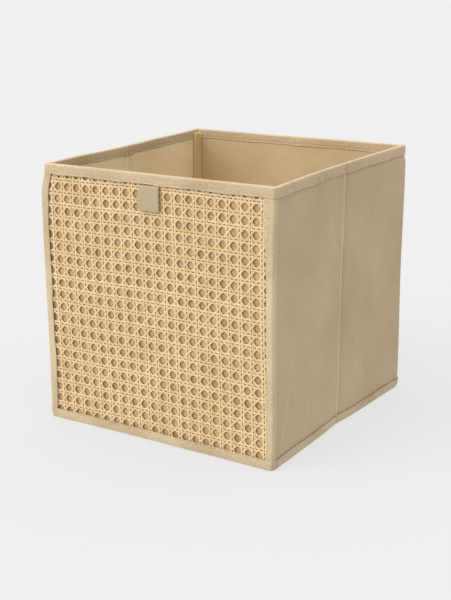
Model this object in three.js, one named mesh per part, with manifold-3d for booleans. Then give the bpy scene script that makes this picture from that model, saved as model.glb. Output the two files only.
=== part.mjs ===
// A folding fabric storage bin: six stiffened wall panels, a sewn floor, a loose base board
// and a ribbon pull. The side walls are split down the middle and fold inwards, so that the
// front panel travels straight back to the rear one.
// Millimetres, +Z up, front towards -Y. The origin is the middle of the base, on the ground.
import * as THREE from "three";
import Module from "manifold-3d";
import { mergeVertices } from "three/addons/utils/BufferGeometryUtils.js";

const wasm = await Module();
wasm.setup();

// Overall sizes of the bin, measured over the panels and not over their tapes.
const WIDTH = 306;
const DEPTH = 308;
const HEIGHT = 308;

// What the panels are made of.
const FABRIC = 0.7;
const CARDBOARD = 2;
const CANE = 1.2;
const TAPE = 0.8;
const PLY_GAP = 0.3;

// Tapes.
const RIM_TAPE = 11.5;
const HEM_TAPE = 12;
const HEM_FOOT = 4;
const EDGE_TAPE = 9.5;
const CORNER_STRIP = 8;

// Panels.
const BOARD_INSET = 3;
const CANE_INSET = 2;
const CORNER_GAP = 0.4;
const CREASE_CHANNEL = 7;
const FLOOR_SHEET = 0.8;

// The loose base board in its cover, and the room that it has beside the side walls.
const INSERT_BOARD = 2;
const INSERT_FABRIC = 0.5;
const INSERT_SIDE_ROOM = 6;

// Folding. Room is left between the panels once the bin is flat, and more beside the half
// panels, which sag inwards at their creases. The corners turn a little inside the side walls.
const PACKED_CLEARANCE = 1.5;
const CREASE_GIVE = 3.5;
const PIVOT_INSET = 2;

// The pull.
const PULL_WIDTH = 27;
const PULL_LENGTH = 28.5;
const PULL_FROM_MIDDLE = -3;
const RIBBON = 0.6;

// Worked out from the sizes above.
const SIDE_WALL = 2 * FABRIC + CARDBOARD + 2 * PLY_GAP;
const FRONT_WALL = SIDE_WALL + CANE + PLY_GAP;
const TAPE_PROUD = PLY_GAP + TAPE;
const INSERT_THICKNESS = INSERT_BOARD + 2 * INSERT_FABRIC + 2 * PLY_GAP;
const INSERT_BOTTOM = FLOOR_SHEET + PLY_GAP;
const INSERT_TOP = INSERT_BOTTOM + INSERT_THICKNESS;
const INSERT_CLEARANCE = TAPE_PROUD + PLY_GAP;
const PANEL_LIFT = INSERT_TOP + PACKED_CLEARANCE;
const SIDE_OUT = WIDTH / 2;
const SIDE_IN = SIDE_OUT - SIDE_WALL;
const REAR_OUT = DEPTH / 2;
const REAR_IN = REAR_OUT - SIDE_WALL;
const FRONT_OUT = -DEPTH / 2;
const FRONT_IN = FRONT_OUT + FRONT_WALL;
const PANEL_TOP = HEIGHT - TAPE_PROUD;
const RIM_BOTTOM = HEIGHT - RIM_TAPE;

// The fold lines, all upright. A rear corner turns far enough inside the rear wall for the base
// board to stand between, a front corner far enough for the rim tapes, and a crease turns outside
// the wall, midway between them, so that the front wall travels straight back.
const FOLD_ROOM = TAPE_PROUD + PACKED_CLEARANCE + CREASE_GIVE - PIVOT_INSET;
const REAR_PIVOT_Y = REAR_IN - INSERT_CLEARANCE - INSERT_THICKNESS - FOLD_ROOM;
const FRONT_PIVOT_Y = FRONT_IN + TAPE_PROUD + FOLD_ROOM;
const PIVOT_X = SIDE_IN - PIVOT_INSET;
const CREASE_Y = (REAR_PIVOT_Y + FRONT_PIVOT_Y) / 2;
const CREASE_X = SIDE_OUT + TAPE_PROUD + PACKED_CLEARANCE / 2;
const PULL_TOP = RIM_BOTTOM - PLY_GAP;
const PULL_OUT = FRONT_OUT - 2 * PLY_GAP - 2 * RIBBON;

// A body that turns about a point on its axis, given in the bin's own frame.
function turningAbout(parent, ...axisPoint) {
  const body = new THREE.Group();
  body.userData.at = new THREE.Vector3(...axisPoint);
  body.position.copy(body.userData.at).sub(parent.userData.at);
  parent.add(body);
  return body;
}

const bin = new THREE.Group();
bin.userData.at = new THREE.Vector3();
const sideHalves = { right: {}, left: {} };
for (const [side, s] of [["right", 1], ["left", -1]]) {
  const rearHalf = turningAbout(bin, s * PIVOT_X, REAR_PIVOT_Y, 0);
  const frontHalf = turningAbout(rearHalf, s * CREASE_X, CREASE_Y, 0);
  sideHalves[side] = { rear: rearHalf, front: frontHalf };
}
const frontWall = turningAbout(sideHalves.right.front, PIVOT_X, FRONT_PIVOT_Y, 0);
const pull = turningAbout(frontWall, PULL_FROM_MIDDLE, PULL_OUT - PLY_GAP, PULL_TOP);
const insert = turningAbout(bin, 0, REAR_IN - INSERT_CLEARANCE, INSERT_TOP);

function finish(colour, roughness) {
  return new THREE.MeshStandardMaterial({ color: colour, roughness, metalness: 0 });
}

const nonWoven = () => finish(0xb3a085, 0.9);
const lining = () => finish(0xc1a57c, 0.9);
const bindingTape = () => finish(0xcdb797, 0.85);
const cardboard = () => finish(0x9a8c78, 0.95);
const cane = () => finish(0xe6c99a, 0.6);
const ribbon = () => finish(0xc9b18d, 0.8);

// Puts a piece, drawn in the bin's own frame, on its body.
function add(body, name, geometry, material) {
  const { x, y, z } = body.userData.at;
  const mesh = new THREE.Mesh(geometry.translate(-x, -y, -z), material);
  mesh.name = name;
  body.add(mesh);
}

// A box between two limits along each axis. A mirrored box gives its limits high to low.
function boxBetween(x, y, z) {
  const size = [x, y, z].map(([a, b]) => Math.abs(b - a));
  const middle = [x, y, z].map(([a, b]) => (a + b) / 2);
  return new THREE.BoxGeometry(...size).translate(...middle);
}

function solidFrom(geometry) {
  const bare = geometry.clone();
  bare.deleteAttribute("normal");
  bare.deleteAttribute("uv");
  const merged = mergeVertices(bare, 1e-4);
  const vertProperties = new Float32Array(merged.attributes.position.array);
  const triVerts = new Uint32Array(merged.index.array);
  return new wasm.Manifold(new wasm.Mesh({ numProp: 3, vertProperties, triVerts }));
}

function geometryFrom(solid) {
  const mesh = solid.getMesh();
  const geometry = new THREE.BufferGeometry();
  geometry.setAttribute("position", new THREE.BufferAttribute(mesh.vertProperties, 3));
  geometry.setIndex(new THREE.BufferAttribute(mesh.triVerts, 1));
  geometry.computeVertexNormals();
  return geometry;
}

function cut(geometry, ...tools) {
  return geometryFrom(tools.reduce((s, tool) => s.subtract(solidFrom(tool)), solidFrom(geometry)));
}

// A profile drawn across a wall (first coordinate outwards, second up), run along the wall.
// The wall faces the direction that `facing` names, and `along` gives where the run starts and
// ends on the axis beside it.
const FACING = {
  right: { out: [1, 0, 0], run: [0, -1, 0] },
  left: { out: [-1, 0, 0], run: [0, 1, 0] },
  rear: { out: [0, 1, 0], run: [1, 0, 0] },
  front: { out: [0, -1, 0], run: [-1, 0, 0] },
};

function runAlong(facing, profile, along) {
  const { out, run } = FACING[facing];
  const depth = Math.abs(along[1] - along[0]);
  const geometry = new THREE.ExtrudeGeometry(profile, {
    depth,
    bevelEnabled: false,
    curveSegments: 3,
  });
  const outwards = new THREE.Vector3(...out);
  const alongAxis = new THREE.Vector3(...run);
  const turn = new THREE.Matrix4().makeBasis(outwards, new THREE.Vector3(0, 0, 1), alongAxis);
  geometry.applyMatrix4(turn);
  const sign = run[0] + run[1];
  const start = sign > 0 ? Math.min(...along) : Math.max(...along);
  return geometry.translate(...run.map((v) => Math.abs(v) * start));
}

// Tape folded over the top of a wall: down both faces and round over its edge.
function rimProfile(outside, wall) {
  const inside = outside - wall;
  const over = outside + TAPE_PROUD;
  const under = inside - TAPE_PROUD;
  const shape = new THREE.Shape();
  shape.moveTo(outside + PLY_GAP, RIM_BOTTOM);
  shape.lineTo(over, RIM_BOTTOM);
  shape.lineTo(over, HEIGHT - TAPE_PROUD);
  shape.absarc(over - TAPE_PROUD, HEIGHT - TAPE_PROUD, TAPE_PROUD, 0, Math.PI / 2, false);
  shape.lineTo(under + TAPE_PROUD, HEIGHT);
  shape.absarc(under + TAPE_PROUD, HEIGHT - TAPE_PROUD, TAPE_PROUD, Math.PI / 2, Math.PI, false);
  shape.lineTo(under, RIM_BOTTOM);
  shape.lineTo(inside - PLY_GAP, RIM_BOTTOM);
  shape.lineTo(inside - PLY_GAP, HEIGHT - TAPE);
  shape.lineTo(outside + PLY_GAP, HEIGHT - TAPE);
  shape.closePath();
  return shape;
}

// Tape round the foot of a wall: up its outer face, and under its lower edge.
function hemProfile(outside) {
  const shape = new THREE.Shape();
  shape.moveTo(outside - HEM_FOOT, 0);
  shape.lineTo(outside + TAPE_PROUD, 0);
  shape.lineTo(outside + TAPE_PROUD, HEM_TAPE);
  shape.lineTo(outside + PLY_GAP, HEM_TAPE);
  shape.lineTo(outside + PLY_GAP, TAPE);
  shape.lineTo(outside - HEM_FOOT, TAPE);
  shape.closePath();
  return shape;
}

// The three plies of a wall from its outer face inwards. `place` turns a span of depth below
// the outer face, a span along the wall and a span of height into a box.
function addPlies(body, prefix, place, along, outerPly) {
  const height = [PANEL_LIFT, PANEL_TOP];
  const boardAlong = [along[0] + BOARD_INSET, along[1] - BOARD_INSET];
  const boardHeight = [PANEL_LIFT + BOARD_INSET, PANEL_TOP - BOARD_INSET];
  const board = outerPly + FABRIC + PLY_GAP;
  const inner = board + CARDBOARD + PLY_GAP;
  const fabricPly = place([outerPly, outerPly + FABRIC], along, height);
  const boardPly = place([board, board + CARDBOARD], boardAlong, boardHeight);
  const liningPly = place([inner, inner + FABRIC], along, height);
  add(body, `${prefix}_outer_fabric`, fabricPly, nonWoven());
  add(body, `${prefix}_board`, boardPly, cardboard());
  add(body, `${prefix}_lining`, liningPly, lining());
}

// What stands in the way at the ends of a front or rear tape: the inner leg stops short of the
// side walls, and so does the foot.
function cornerRelief(sign, inner, outer, height) {
  const reach = SIDE_OUT + 2 * TAPE_PROUD;
  const clearOf = SIDE_IN - TAPE_PROUD - PLY_GAP;
  return boxBetween([sign * clearOf, sign * reach], [inner, outer], height);
}

function addRearWall() {
  const across = [-SIDE_OUT, SIDE_OUT];
  const place = (below, along, height) =>
    boxBetween(along, [REAR_OUT - below[1], REAR_OUT - below[0]], height);
  addPlies(bin, "rear", place, across, 0);

  const tape = [-SIDE_OUT - TAPE_PROUD, SIDE_OUT + TAPE_PROUD];
  const rim = runAlong("rear", rimProfile(REAR_OUT, SIDE_WALL), tape);
  const rimRelief = [1, -1].map((s) =>
    cornerRelief(s, REAR_IN - 2 * TAPE_PROUD, REAR_IN - PLY_GAP / 2, [0, HEIGHT + 1]),
  );
  add(bin, "rear_rim_binding", cut(rim, ...rimRelief), bindingTape());
  const hem = runAlong("rear", hemProfile(REAR_OUT), tape);
  add(bin, "rear_hem_binding", hem, bindingTape());

  for (const [side, s] of [["right", 1], ["left", -1]]) {
    const edge = SIDE_IN - TAPE_PROUD - PLY_GAP;
    const x = [s * (edge - CORNER_STRIP), s * edge];
    const y = [REAR_IN - TAPE_PROUD, REAR_IN - PLY_GAP];
    const z = [PANEL_LIFT, RIM_BOTTOM - PLY_GAP];
    add(bin, `rear_${side}_corner_strip`, boxBetween(x, y, z), bindingTape());
  }
}

function addFrontWall() {
  const across = [-SIDE_OUT, SIDE_OUT];
  const place = (below, along, height) =>
    boxBetween(along, [FRONT_OUT + below[0], FRONT_OUT + below[1]], height);
  const caneAcross = [-SIDE_OUT + CANE_INSET, SIDE_OUT - CANE_INSET];
  const caneHeight = [PANEL_LIFT, PANEL_TOP - CANE_INSET];
  add(frontWall, "front_cane_webbing", place([0, CANE], caneAcross, caneHeight), cane());
  addPlies(frontWall, "front", place, across, CANE + PLY_GAP);

  const tape = [-SIDE_OUT - TAPE_PROUD, SIDE_OUT + TAPE_PROUD];
  const rim = runAlong("front", rimProfile(-FRONT_OUT, FRONT_WALL), tape);
  const rimRelief = [1, -1].map((s) =>
    cornerRelief(s, FRONT_IN + PLY_GAP / 2, FRONT_IN + 2 * TAPE_PROUD, [0, HEIGHT + 1]),
  );
  add(frontWall, "front_rim_binding", cut(rim, ...rimRelief), bindingTape());
  const hem = runAlong("front", hemProfile(-FRONT_OUT), tape);
  add(frontWall, "front_hem_binding", hem, bindingTape());

  for (const [side, s] of [["right", 1], ["left", -1]]) addEdgeBinding(side, s);
}

// Tape down a front corner: across the edge of the cane and round onto the end of the wall.
function addEdgeBinding(side, s) {
  const outer = SIDE_OUT + TAPE_PROUD;
  const face = FRONT_OUT - TAPE_PROUD;
  const height = [HEM_TAPE + PLY_GAP, RIM_BOTTOM - PLY_GAP];
  const whole = boxBetween([s * (outer - EDGE_TAPE), s * outer], [face, FRONT_IN], height);
  const covered = boxBetween(
    [0, s * (SIDE_OUT + PLY_GAP)],
    [FRONT_OUT - PLY_GAP, FRONT_IN + PLY_GAP],
    [0, HEIGHT],
  );
  add(frontWall, `front_${side}_edge_binding`, cut(whole, covered), bindingTape());
}

// One side wall: two half panels with a sewn channel between them.
function addSideWall(side, s) {
  const place = (below, along, height) =>
    boxBetween([s * (SIDE_OUT - below[0]), s * (SIDE_OUT - below[1])], along, height);
  const halfChannel = CREASE_CHANNEL / 2;
  const halves = {
    rear: {
      panel: [CREASE_Y + halfChannel, REAR_IN - CORNER_GAP],
      tape: [CREASE_Y + PLY_GAP / 2, REAR_IN - TAPE_PROUD - CORNER_GAP],
    },
    front: {
      panel: [FRONT_IN + CORNER_GAP, CREASE_Y - halfChannel],
      tape: [FRONT_IN + TAPE_PROUD + CORNER_GAP, CREASE_Y - PLY_GAP / 2],
    },
  };
  for (const [half, { panel, tape }] of Object.entries(halves)) {
    const prefix = `${side}_${half}`;
    const body = sideHalves[side][half];
    addPlies(body, prefix, place, panel, 0);
    const rim = runAlong(side, rimProfile(SIDE_OUT, SIDE_WALL), tape);
    add(body, `${prefix}_rim_binding`, rim, bindingTape());
    const hem = runAlong(side, hemProfile(SIDE_OUT), tape);
    add(body, `${prefix}_hem_binding`, hem, bindingTape());
  }
  const channel = [CREASE_Y - halfChannel + PLY_GAP, CREASE_Y + halfChannel - PLY_GAP];
  const sewn = place([0, 2 * FABRIC], channel, [PANEL_LIFT, PANEL_TOP]);
  add(sideHalves[side].rear, `${side}_crease_channel`, sewn, nonWoven());
}

function addFloorSheet() {
  const x = SIDE_OUT - HEM_FOOT - PLY_GAP;
  const y = DEPTH / 2 - HEM_FOOT - PLY_GAP;
  add(bin, "floor_sheet", boxBetween([-x, x], [-y, y], [0, FLOOR_SHEET]), nonWoven());
}

// Stiff board lying loose on the floor sheet, in a cover whose top turns down round its edges.
function addInsert() {
  const halfWidth = SIDE_IN - INSERT_SIDE_ROOM;
  const rear = REAR_IN - INSERT_CLEARANCE;
  const front = FRONT_IN + INSERT_CLEARANCE;
  const across = (inset) => [-halfWidth + inset, halfWidth - inset];
  const deep = (inset) => [front + inset, rear - inset];
  const wrap = INSERT_FABRIC + PLY_GAP;

  const base = [INSERT_BOTTOM, INSERT_BOTTOM + INSERT_FABRIC];
  add(insert, "insert_base_fabric", boxBetween(across(0), deep(0), base), lining());
  const board = [INSERT_BOTTOM + wrap, INSERT_TOP - wrap];
  add(insert, "insert_board", boxBetween(across(wrap), deep(wrap), board), cardboard());
  const cover = boxBetween(across(0), deep(0), [base[1] + PLY_GAP, INSERT_TOP]);
  const hollow = boxBetween(
    across(INSERT_FABRIC),
    deep(INSERT_FABRIC),
    [0, INSERT_TOP - INSERT_FABRIC],
  );
  add(insert, "insert_cover", cut(cover, hollow), lining());
}

// Ribbon folded in half and sewn in under the front rim tape, so its closed end hangs down.
function addPull() {
  const inner = FRONT_OUT - PLY_GAP;
  const x = [PULL_FROM_MIDDLE - PULL_WIDTH / 2, PULL_FROM_MIDDLE + PULL_WIDTH / 2];
  const whole = boxBetween(x, [PULL_OUT, inner], [PULL_TOP - PULL_LENGTH, PULL_TOP]);
  const between = boxBetween(
    [x[0] - 1, x[1] + 1],
    [PULL_OUT + RIBBON, inner - RIBBON],
    [PULL_TOP - PULL_LENGTH + RIBBON, PULL_TOP + 1],
  );
  add(pull, "pull_ribbon", cut(whole, between), ribbon());
}

addRearWall();
addFrontWall();
addSideWall("right", 1);
addSideWall("left", -1);
addFloorSheet();
addInsert();
addPull();

export default bin;
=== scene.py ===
import math

import bpy
import numpy as np
from mathutils import Matrix, Vector


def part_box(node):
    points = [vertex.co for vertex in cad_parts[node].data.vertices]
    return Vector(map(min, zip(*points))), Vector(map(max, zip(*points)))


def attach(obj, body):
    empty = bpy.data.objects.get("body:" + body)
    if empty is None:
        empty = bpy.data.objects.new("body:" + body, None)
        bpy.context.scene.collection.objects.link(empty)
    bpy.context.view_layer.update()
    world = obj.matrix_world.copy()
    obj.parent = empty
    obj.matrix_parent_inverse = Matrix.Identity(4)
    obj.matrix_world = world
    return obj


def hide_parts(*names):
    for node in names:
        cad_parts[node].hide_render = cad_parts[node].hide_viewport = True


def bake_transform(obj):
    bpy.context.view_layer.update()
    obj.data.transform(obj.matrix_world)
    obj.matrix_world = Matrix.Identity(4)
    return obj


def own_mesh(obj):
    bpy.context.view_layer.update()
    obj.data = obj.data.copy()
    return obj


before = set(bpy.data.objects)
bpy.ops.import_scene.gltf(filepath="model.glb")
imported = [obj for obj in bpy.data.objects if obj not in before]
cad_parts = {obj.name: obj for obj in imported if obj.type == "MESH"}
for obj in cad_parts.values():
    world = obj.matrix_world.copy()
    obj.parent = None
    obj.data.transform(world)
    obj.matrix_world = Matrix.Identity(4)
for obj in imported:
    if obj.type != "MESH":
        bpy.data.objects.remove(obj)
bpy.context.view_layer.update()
scene = bpy.context.scene

# ------------------------------------------------------------
# Camera. It stands in front of the bin and to its right, a little above its rim, so that the
# front, the right side and some of the inside show.
# ------------------------------------------------------------
azimuth, elevation, roll = (math.radians(a) for a in (32.502, 16.156, -0.385))
DISTANCE = 1.3747
SIDEWAYS = -0.00534
AIM_HEIGHT = 0.1303
back = Vector((
    math.sin(azimuth) * math.cos(elevation),
    -math.cos(azimuth) * math.cos(elevation),
    math.sin(elevation),
))
right = Vector((math.cos(azimuth), math.sin(azimuth), 0))
up = back.cross(right)
camera_axes = Matrix((
    math.cos(roll) * right + math.sin(roll) * up,
    math.cos(roll) * up - math.sin(roll) * right,
    back,
)).transposed()
camera_place = DISTANCE * back + SIDEWAYS * right + Vector((0, 0, AIM_HEIGHT))
camera = bpy.data.objects.new("camera", bpy.data.cameras.new("camera"))
camera.data.sensor_width = 36
camera.data.lens = 67.93
camera.data.clip_end = 200
camera.matrix_world = Matrix.Translation(camera_place) @ camera_axes.to_4x4()
scene.collection.objects.link(camera)
scene.camera = camera

# ------------------------------------------------------------
# Studio. A wide white floor that is lit from within, as a light table is, under a white tent that
# is brightest overhead. One large soft lamp stands in front and to the left of the bin.
# ------------------------------------------------------------
scene.view_settings.view_transform = "Standard"
scene.view_settings.look = "None"


def linear(colour):
    """An sRGB colour, written #RRGGBB, as the linear RGBA that the shaders take."""
    shares = [int(colour[i:i + 2], 16) / 255 for i in (1, 3, 5)]
    return (*[s / 12.92 if s <= 0.04045 else ((s + 0.055) / 1.055) ** 2.4 for s in shares], 1)


def add_node(tree, kind, inputs=None, **settings):
    """Adds a node to the tree. An input is given as a value, or as the output that feeds it."""
    node = tree.nodes.new(kind)
    for name, value in settings.items():
        setattr(node, name, value)
    for name, value in (inputs or {}).items():
        if isinstance(value, bpy.types.NodeSocket):
            tree.links.new(value, node.inputs[name])
        else:
            node.inputs[name].default_value = value
    return node


def math_node(tree, operation, a, b=0.0):
    """The result of one sum on one or two numbers or outputs."""
    return add_node(tree, "ShaderNodeMath", {0: a, 1: b}, operation=operation).outputs[0]


def new_material(name):
    """An empty material and its tree."""
    material = bpy.data.materials.new(name)
    material.use_nodes = True
    material.node_tree.nodes.clear()
    return material, material.node_tree


def surface(tree, inputs):
    """Joins a material's one shader, with these inputs, to its output."""
    shader = add_node(tree, "ShaderNodeBsdfPrincipled", inputs)
    add_node(tree, "ShaderNodeOutputMaterial", {"Surface": shader.outputs["BSDF"]})


# Opal floor: matt, pale grey in itself, and glowing evenly, so that shadows on it stay faint.
opal_floor, tree = new_material("matt opal light table")
surface(tree, {
    "Base Color": linear("#6c6c6c"), "Roughness": 1.0, "Specular IOR Level": 0.0,
    "Emission Color": linear("#ffffff"), "Emission Strength": 0.635,
})

FAR = 60
floor_mesh = bpy.data.meshes.new("studio_floor")
floor_corners = [(-FAR, -FAR, 0), (FAR, -FAR, 0), (FAR, FAR, 0), (-FAR, FAR, 0)]
floor_mesh.from_pydata(floor_corners, [], [(0, 1, 2, 3)])
floor_mesh.materials.append(opal_floor)
studio_floor = bpy.data.objects.new("studio_floor", floor_mesh)
scene.collection.objects.link(studio_floor)

# The tent: its light grows with the square of the height that it comes from.
world = bpy.data.worlds.new("white light tent")
scene.world = world
world.use_nodes = True
tent = world.node_tree
towards = add_node(tent, "ShaderNodeTexCoord").outputs["Generated"]
height = add_node(tent, "ShaderNodeSeparateXYZ", {"Vector": towards}).outputs["Z"]
squared = math_node(tent, "MULTIPLY", height, height)
glow = add_node(tent, "ShaderNodeMapRange", {
    "Value": squared, "To Min": 0.33, "To Max": 2.3,
}).outputs["Result"]
tent.links.new(glow, tent.nodes["Background"].inputs["Strength"])
tent.nodes["Background"].inputs["Color"].default_value = (1, 1, 1, 1)

lamp = bpy.data.objects.new("large_soft_lamp", bpy.data.lights.new("large_soft_lamp", "SUN"))
lamp.data.energy = 1.75
lamp.data.angle = math.radians(50)
lamp.rotation_euler = Vector((-0.54, -0.70, 0.47)).to_track_quat("Z", "Y").to_euler()
scene.collection.objects.link(lamp)

# ------------------------------------------------------------
# Floor of the bin. One sheet of spunbonded polypropylene fabric, cut square, with its edges
# sewn into the hems of the walls. It crumples up under the walls when the bin is folded.
# ------------------------------------------------------------
def box_mm(node, end, axis):
    """Where a solid's box begins, for end 0, or ends, for end 1, along an axis, in mm."""
    return round(1000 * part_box(node)[end][axis], 2)


# The square pattern, in mm: its height, its half width and half depth over the outer cloth, the
# middle of the side walls' creases, and the thickness of the wall cloths and of the boards. SKEW
# is how far the sewn bin is out of square, in mm across for each mm of depth.
HEIGHT = box_mm("rear_rim_binding", 1, 2)
HALF_X = box_mm("right_rear_outer_fabric", 1, 0)
HALF_Y = box_mm("rear_outer_fabric", 1, 1)
CREASE_Y = (box_mm("right_crease_channel", 0, 1) + box_mm("right_crease_channel", 1, 1)) / 2
SKEW = 0.02
CLOTH = 0.7
BOARD = 2.0


def smooth(value, low, high):
    """Rises from 0 at low to 1 at high with no corner at either end."""
    share = np.clip((value - low) / (high - low), 0, 1)
    return share * share * (3 - 2 * share)


def settle(points):
    """Where points of the square pattern, in mm, come to rest once the bin is sewn and stood up.

    Every ply goes through it, so that the plies stay the same distance apart.
    """
    x, y, z = np.moveaxis(np.asarray(points, float), -1, 0)
    side = np.sign(x)
    low = 1 - np.clip(z / HEIGHT, 0, 1)
    at_side = smooth(np.abs(x), 90, 148)
    at_front = smooth(-y, 90, 146)
    at_rear = smooth(y, 90, 148)
    near_foot = 1 - smooth(z, 0, 18)

    # The side walls give way along their creases, mostly at the foot, where the hem curls under.
    sag = (1.0 + 4.0 * low ** 1.5) * np.exp(-np.abs(y - CREASE_Y) / 40)
    sag = sag + 2.6 * near_foot * np.sqrt(np.clip(np.cos(np.pi * y / (2 * HALF_Y)), 0, 1))
    # The half panels bow out a little between crease and corner, and ripple under their tapes.
    bow = 1.3 * np.sin(np.pi * np.clip(low, 0, 1)) * np.sin(np.pi * np.abs(y) / HALF_Y) ** 2
    ripple = 0.6 * np.sin(y / 23 + 1.1 * side) * np.sin(z / 37 + 0.4 * side)
    # The rim tape draws the front left corner in, and lets the front right one out a little.
    # Rim tape and hem draw the rear right corner in.
    by_front = np.exp(-np.clip(y + HALF_Y, 0, None) / 60)
    lean = np.where(x < 0, -7.5 * smooth(z, 270, HEIGHT), 1.3 * smooth(z, 250, HEIGHT) - 0.2)
    by_rear = np.exp(-np.clip(HALF_Y - y, 0, None) / 50) * (x > 0)
    lean = lean * by_front - (2.8 * smooth(z, 289, 298) + 1.6 * near_foot) * by_rear
    # The edge of the front half panel's board shows through its cloth near the foot.
    ridge = 1.9 * np.exp(-((y + 147 - 0.26 * z) / 3.6) ** 2) * (1 - smooth(z, 30, 140))
    ridge = ridge * smooth(z, 8, 16) * (x > 0)
    out_x = side * at_side * (bow + ripple + lean + ridge - sag)

    front_ripple = 0.5 * np.sin(x / 31 + 0.8) * np.sin(z / 45 + 0.3)
    mid_wall = np.cos(np.pi * x / (2 * HALF_X))
    front_bow = 1.0 * np.sin(np.pi * low) * mid_wall
    rear_bow = 1.2 + 1.6 * np.sin(np.pi * low) * mid_wall
    out_y = at_rear * (rear_bow + front_ripple) - at_front * (front_bow + front_ripple)

    # The rim climbs a little towards the rear and the right. The foot of the front is off the
    # ground in its middle, and the four corners of the foot are rounded.
    climb = 1.7 * (y / HALF_Y + 1) - 1.0 + 1.4 * x / HALF_X * np.cos(np.pi * y / (2 * HALF_Y))
    lift = 1.1 * near_foot * at_front * np.clip(mid_wall, 0, 1)
    to_corner = np.sqrt((np.abs(x) - HALF_X - 1) ** 2 + (np.abs(y) - HALF_Y - 1) ** 2 + z ** 2)
    tuck = np.clip(1 - to_corner / 7, 0, 1) ** 1.5
    # The whole bin stands a little out of square.
    return np.stack([
        x + SKEW * y + out_x - 1.2 * tuck * side,
        y + out_y - 1.0 * tuck * np.sign(y),
        z + climb * smooth(z, 150, 300) + lift + 0.6 * tuck,
    ], axis=-1)


def sheet_of_cloth(name, rows, thickness, material, move=settle):
    """A sheet through rows of points of the square pattern, in mm, with its thickness behind it.

    `move` brings the points to their places. The UV map is the flat sheet, in metres.
    """
    rows = np.asarray(rows, float)
    count, width = rows.shape[:2]
    places = move(rows).reshape(-1, 3) / 1000
    index = np.arange(count * width).reshape(count, width)
    faces = np.stack([index[:-1, :-1], index[1:, :-1], index[1:, 1:], index[:-1, 1:]], axis=-1)
    mesh = bpy.data.meshes.new(name)
    mesh.from_pydata(places.tolist(), [], faces.reshape(-1, 4).tolist())

    def lengths(line):
        return np.concatenate([[0], np.cumsum(np.linalg.norm(np.diff(line, axis=0), axis=1))])

    along = lengths(rows[:, width // 2]) / 1000
    across = lengths(rows[count // 2]) / 1000
    flat = np.stack(np.meshgrid(along, across, indexing="ij"), axis=-1).reshape(-1, 2)
    corners = np.array([loop.vertex_index for loop in mesh.loops])
    mesh.uv_layers.new(name="cloth").data.foreach_set("uv", flat[corners].ravel())
    mesh.shade_smooth()
    mesh.materials.append(material)

    cloth = bpy.data.objects.new(name, mesh)
    scene.collection.objects.link(cloth)
    backed = cloth.modifiers.new("thickness", "SOLIDIFY")
    backed.thickness = thickness / 1000
    backed.offset = -1
    cloth["flat_size"] = [along[-1], across[-1]]
    return cloth


def declare(nodes=()):
    """Hides the solids that a finished sheet stands for.

    The narrow strips are cut 10.5 mm wide, and have their long edges turned under.
    """
    if nodes:
        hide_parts(*nodes)


def noise(tree, place, scale, detail=2.0, roughness=0.5, distortion=0.0):
    """Cloudy noise from 0 to 1."""
    return add_node(tree, "ShaderNodeTexNoise", {
        "Vector": place, "Scale": scale, "Detail": detail, "Roughness": roughness,
        "Distortion": distortion,
    }).outputs["Fac"]


def spread_out(tree, value, low, high):
    """The value on a scale that is 0 at low and 1 at high."""
    return add_node(tree, "ShaderNodeMapRange", {
        "Value": value, "From Min": low, "From Max": high,
    }).outputs["Result"]


def two_tones(tree, share, shade, colour):
    """The shade where the share is 0, the colour where it is 1, and a mix between."""
    return add_node(tree, "ShaderNodeMix", {
        "Factor": share, "A": linear(shade), "B": linear(colour),
    }, data_type="RGBA").outputs["Result"]


def bump(tree, height, strength, distance, **below):
    """The normal of a surface that is raised by the height, over a normal below if given."""
    return add_node(tree, "ShaderNodeBump", {
        "Height": height, "Strength": strength, "Distance": distance, **below,
    }).outputs["Normal"]


# How far apart the embossed points are, in mm.
POINT_GRID = 1.8


def spunbond(name, colour, shade, grain, relief, patch=90):
    """Spunbonded polypropylene: matt, felted fibres, fused in a grid of small embossed points.

    `shade` is the colour of the places where the cloth is thinner, and on the backing cloth under
    the cane also of painted shade, `grain` how far apart the fibre clumps lie, `relief` how deep
    the soft wrinkles look, and `patch` how far apart the darker places lie, in mm.
    """
    material, tree = new_material(name)
    cloth_map = add_node(tree, "ShaderNodeUVMap", uv_map="cloth").outputs["UV"]
    place = add_node(tree, "ShaderNodeTexCoord").outputs["Object"]
    fibres = noise(tree, cloth_map, 1000 / grain, 4.0, 0.65)
    points = add_node(tree, "ShaderNodeTexVoronoi", {
        "Vector": cloth_map, "Scale": 1000 / POINT_GRID, "Randomness": 0.12,
    }).outputs["Distance"]
    patches_and_painted_shade = noise(tree, place, 1000 / patch)
    wrinkles = noise(tree, place, 24.0, 3.0, 0.45, 0.8)
    # On the backing cloth under the cane, the darker places mixed in here are painted shade from
    # the cane.
    thin_and_painted_shade = math_node(tree, "ADD", fibres, patches_and_painted_shade)
    normal = bump(tree, wrinkles, 1.0, relief / 1000)
    normal = bump(tree, spread_out(tree, points, 0.12, 0.45), 0.5, 0.00012, Normal=normal)
    surface(tree, {
        "Base Color": two_tones(tree, spread_out(tree, thin_and_painted_shade, 0.75, 1.25), shade, colour),
        "Roughness": 0.82, "IOR": 1.49, "Specular IOR Level": 0.25, "Sheen Weight": 0.18,
        "Sheen Roughness": 0.45, "Normal": bump(tree, fibres, 0.5, 0.00015, Normal=normal),
    })
    return material


wall_cloth = spunbond("beige spunbonded polypropylene", "#c1aa88", "#b09b7a", 0.9, 3.4)

FLOOR_X = 148.4
FLOOR_Y = 149.4
FLOOR_THICK = 0.8
floor_rows = [[(x, y, FLOOR_THICK) for y in np.linspace(FLOOR_Y, -FLOOR_Y, 60)]
              for x in np.linspace(FLOOR_X, -FLOOR_X, 60)]
floor_sheet = sheet_of_cloth("floor_sheet_cloth", floor_rows, FLOOR_THICK, wall_cloth)
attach(floor_sheet, "root")
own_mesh(floor_sheet)
declare(["floor_sheet"])

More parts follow.
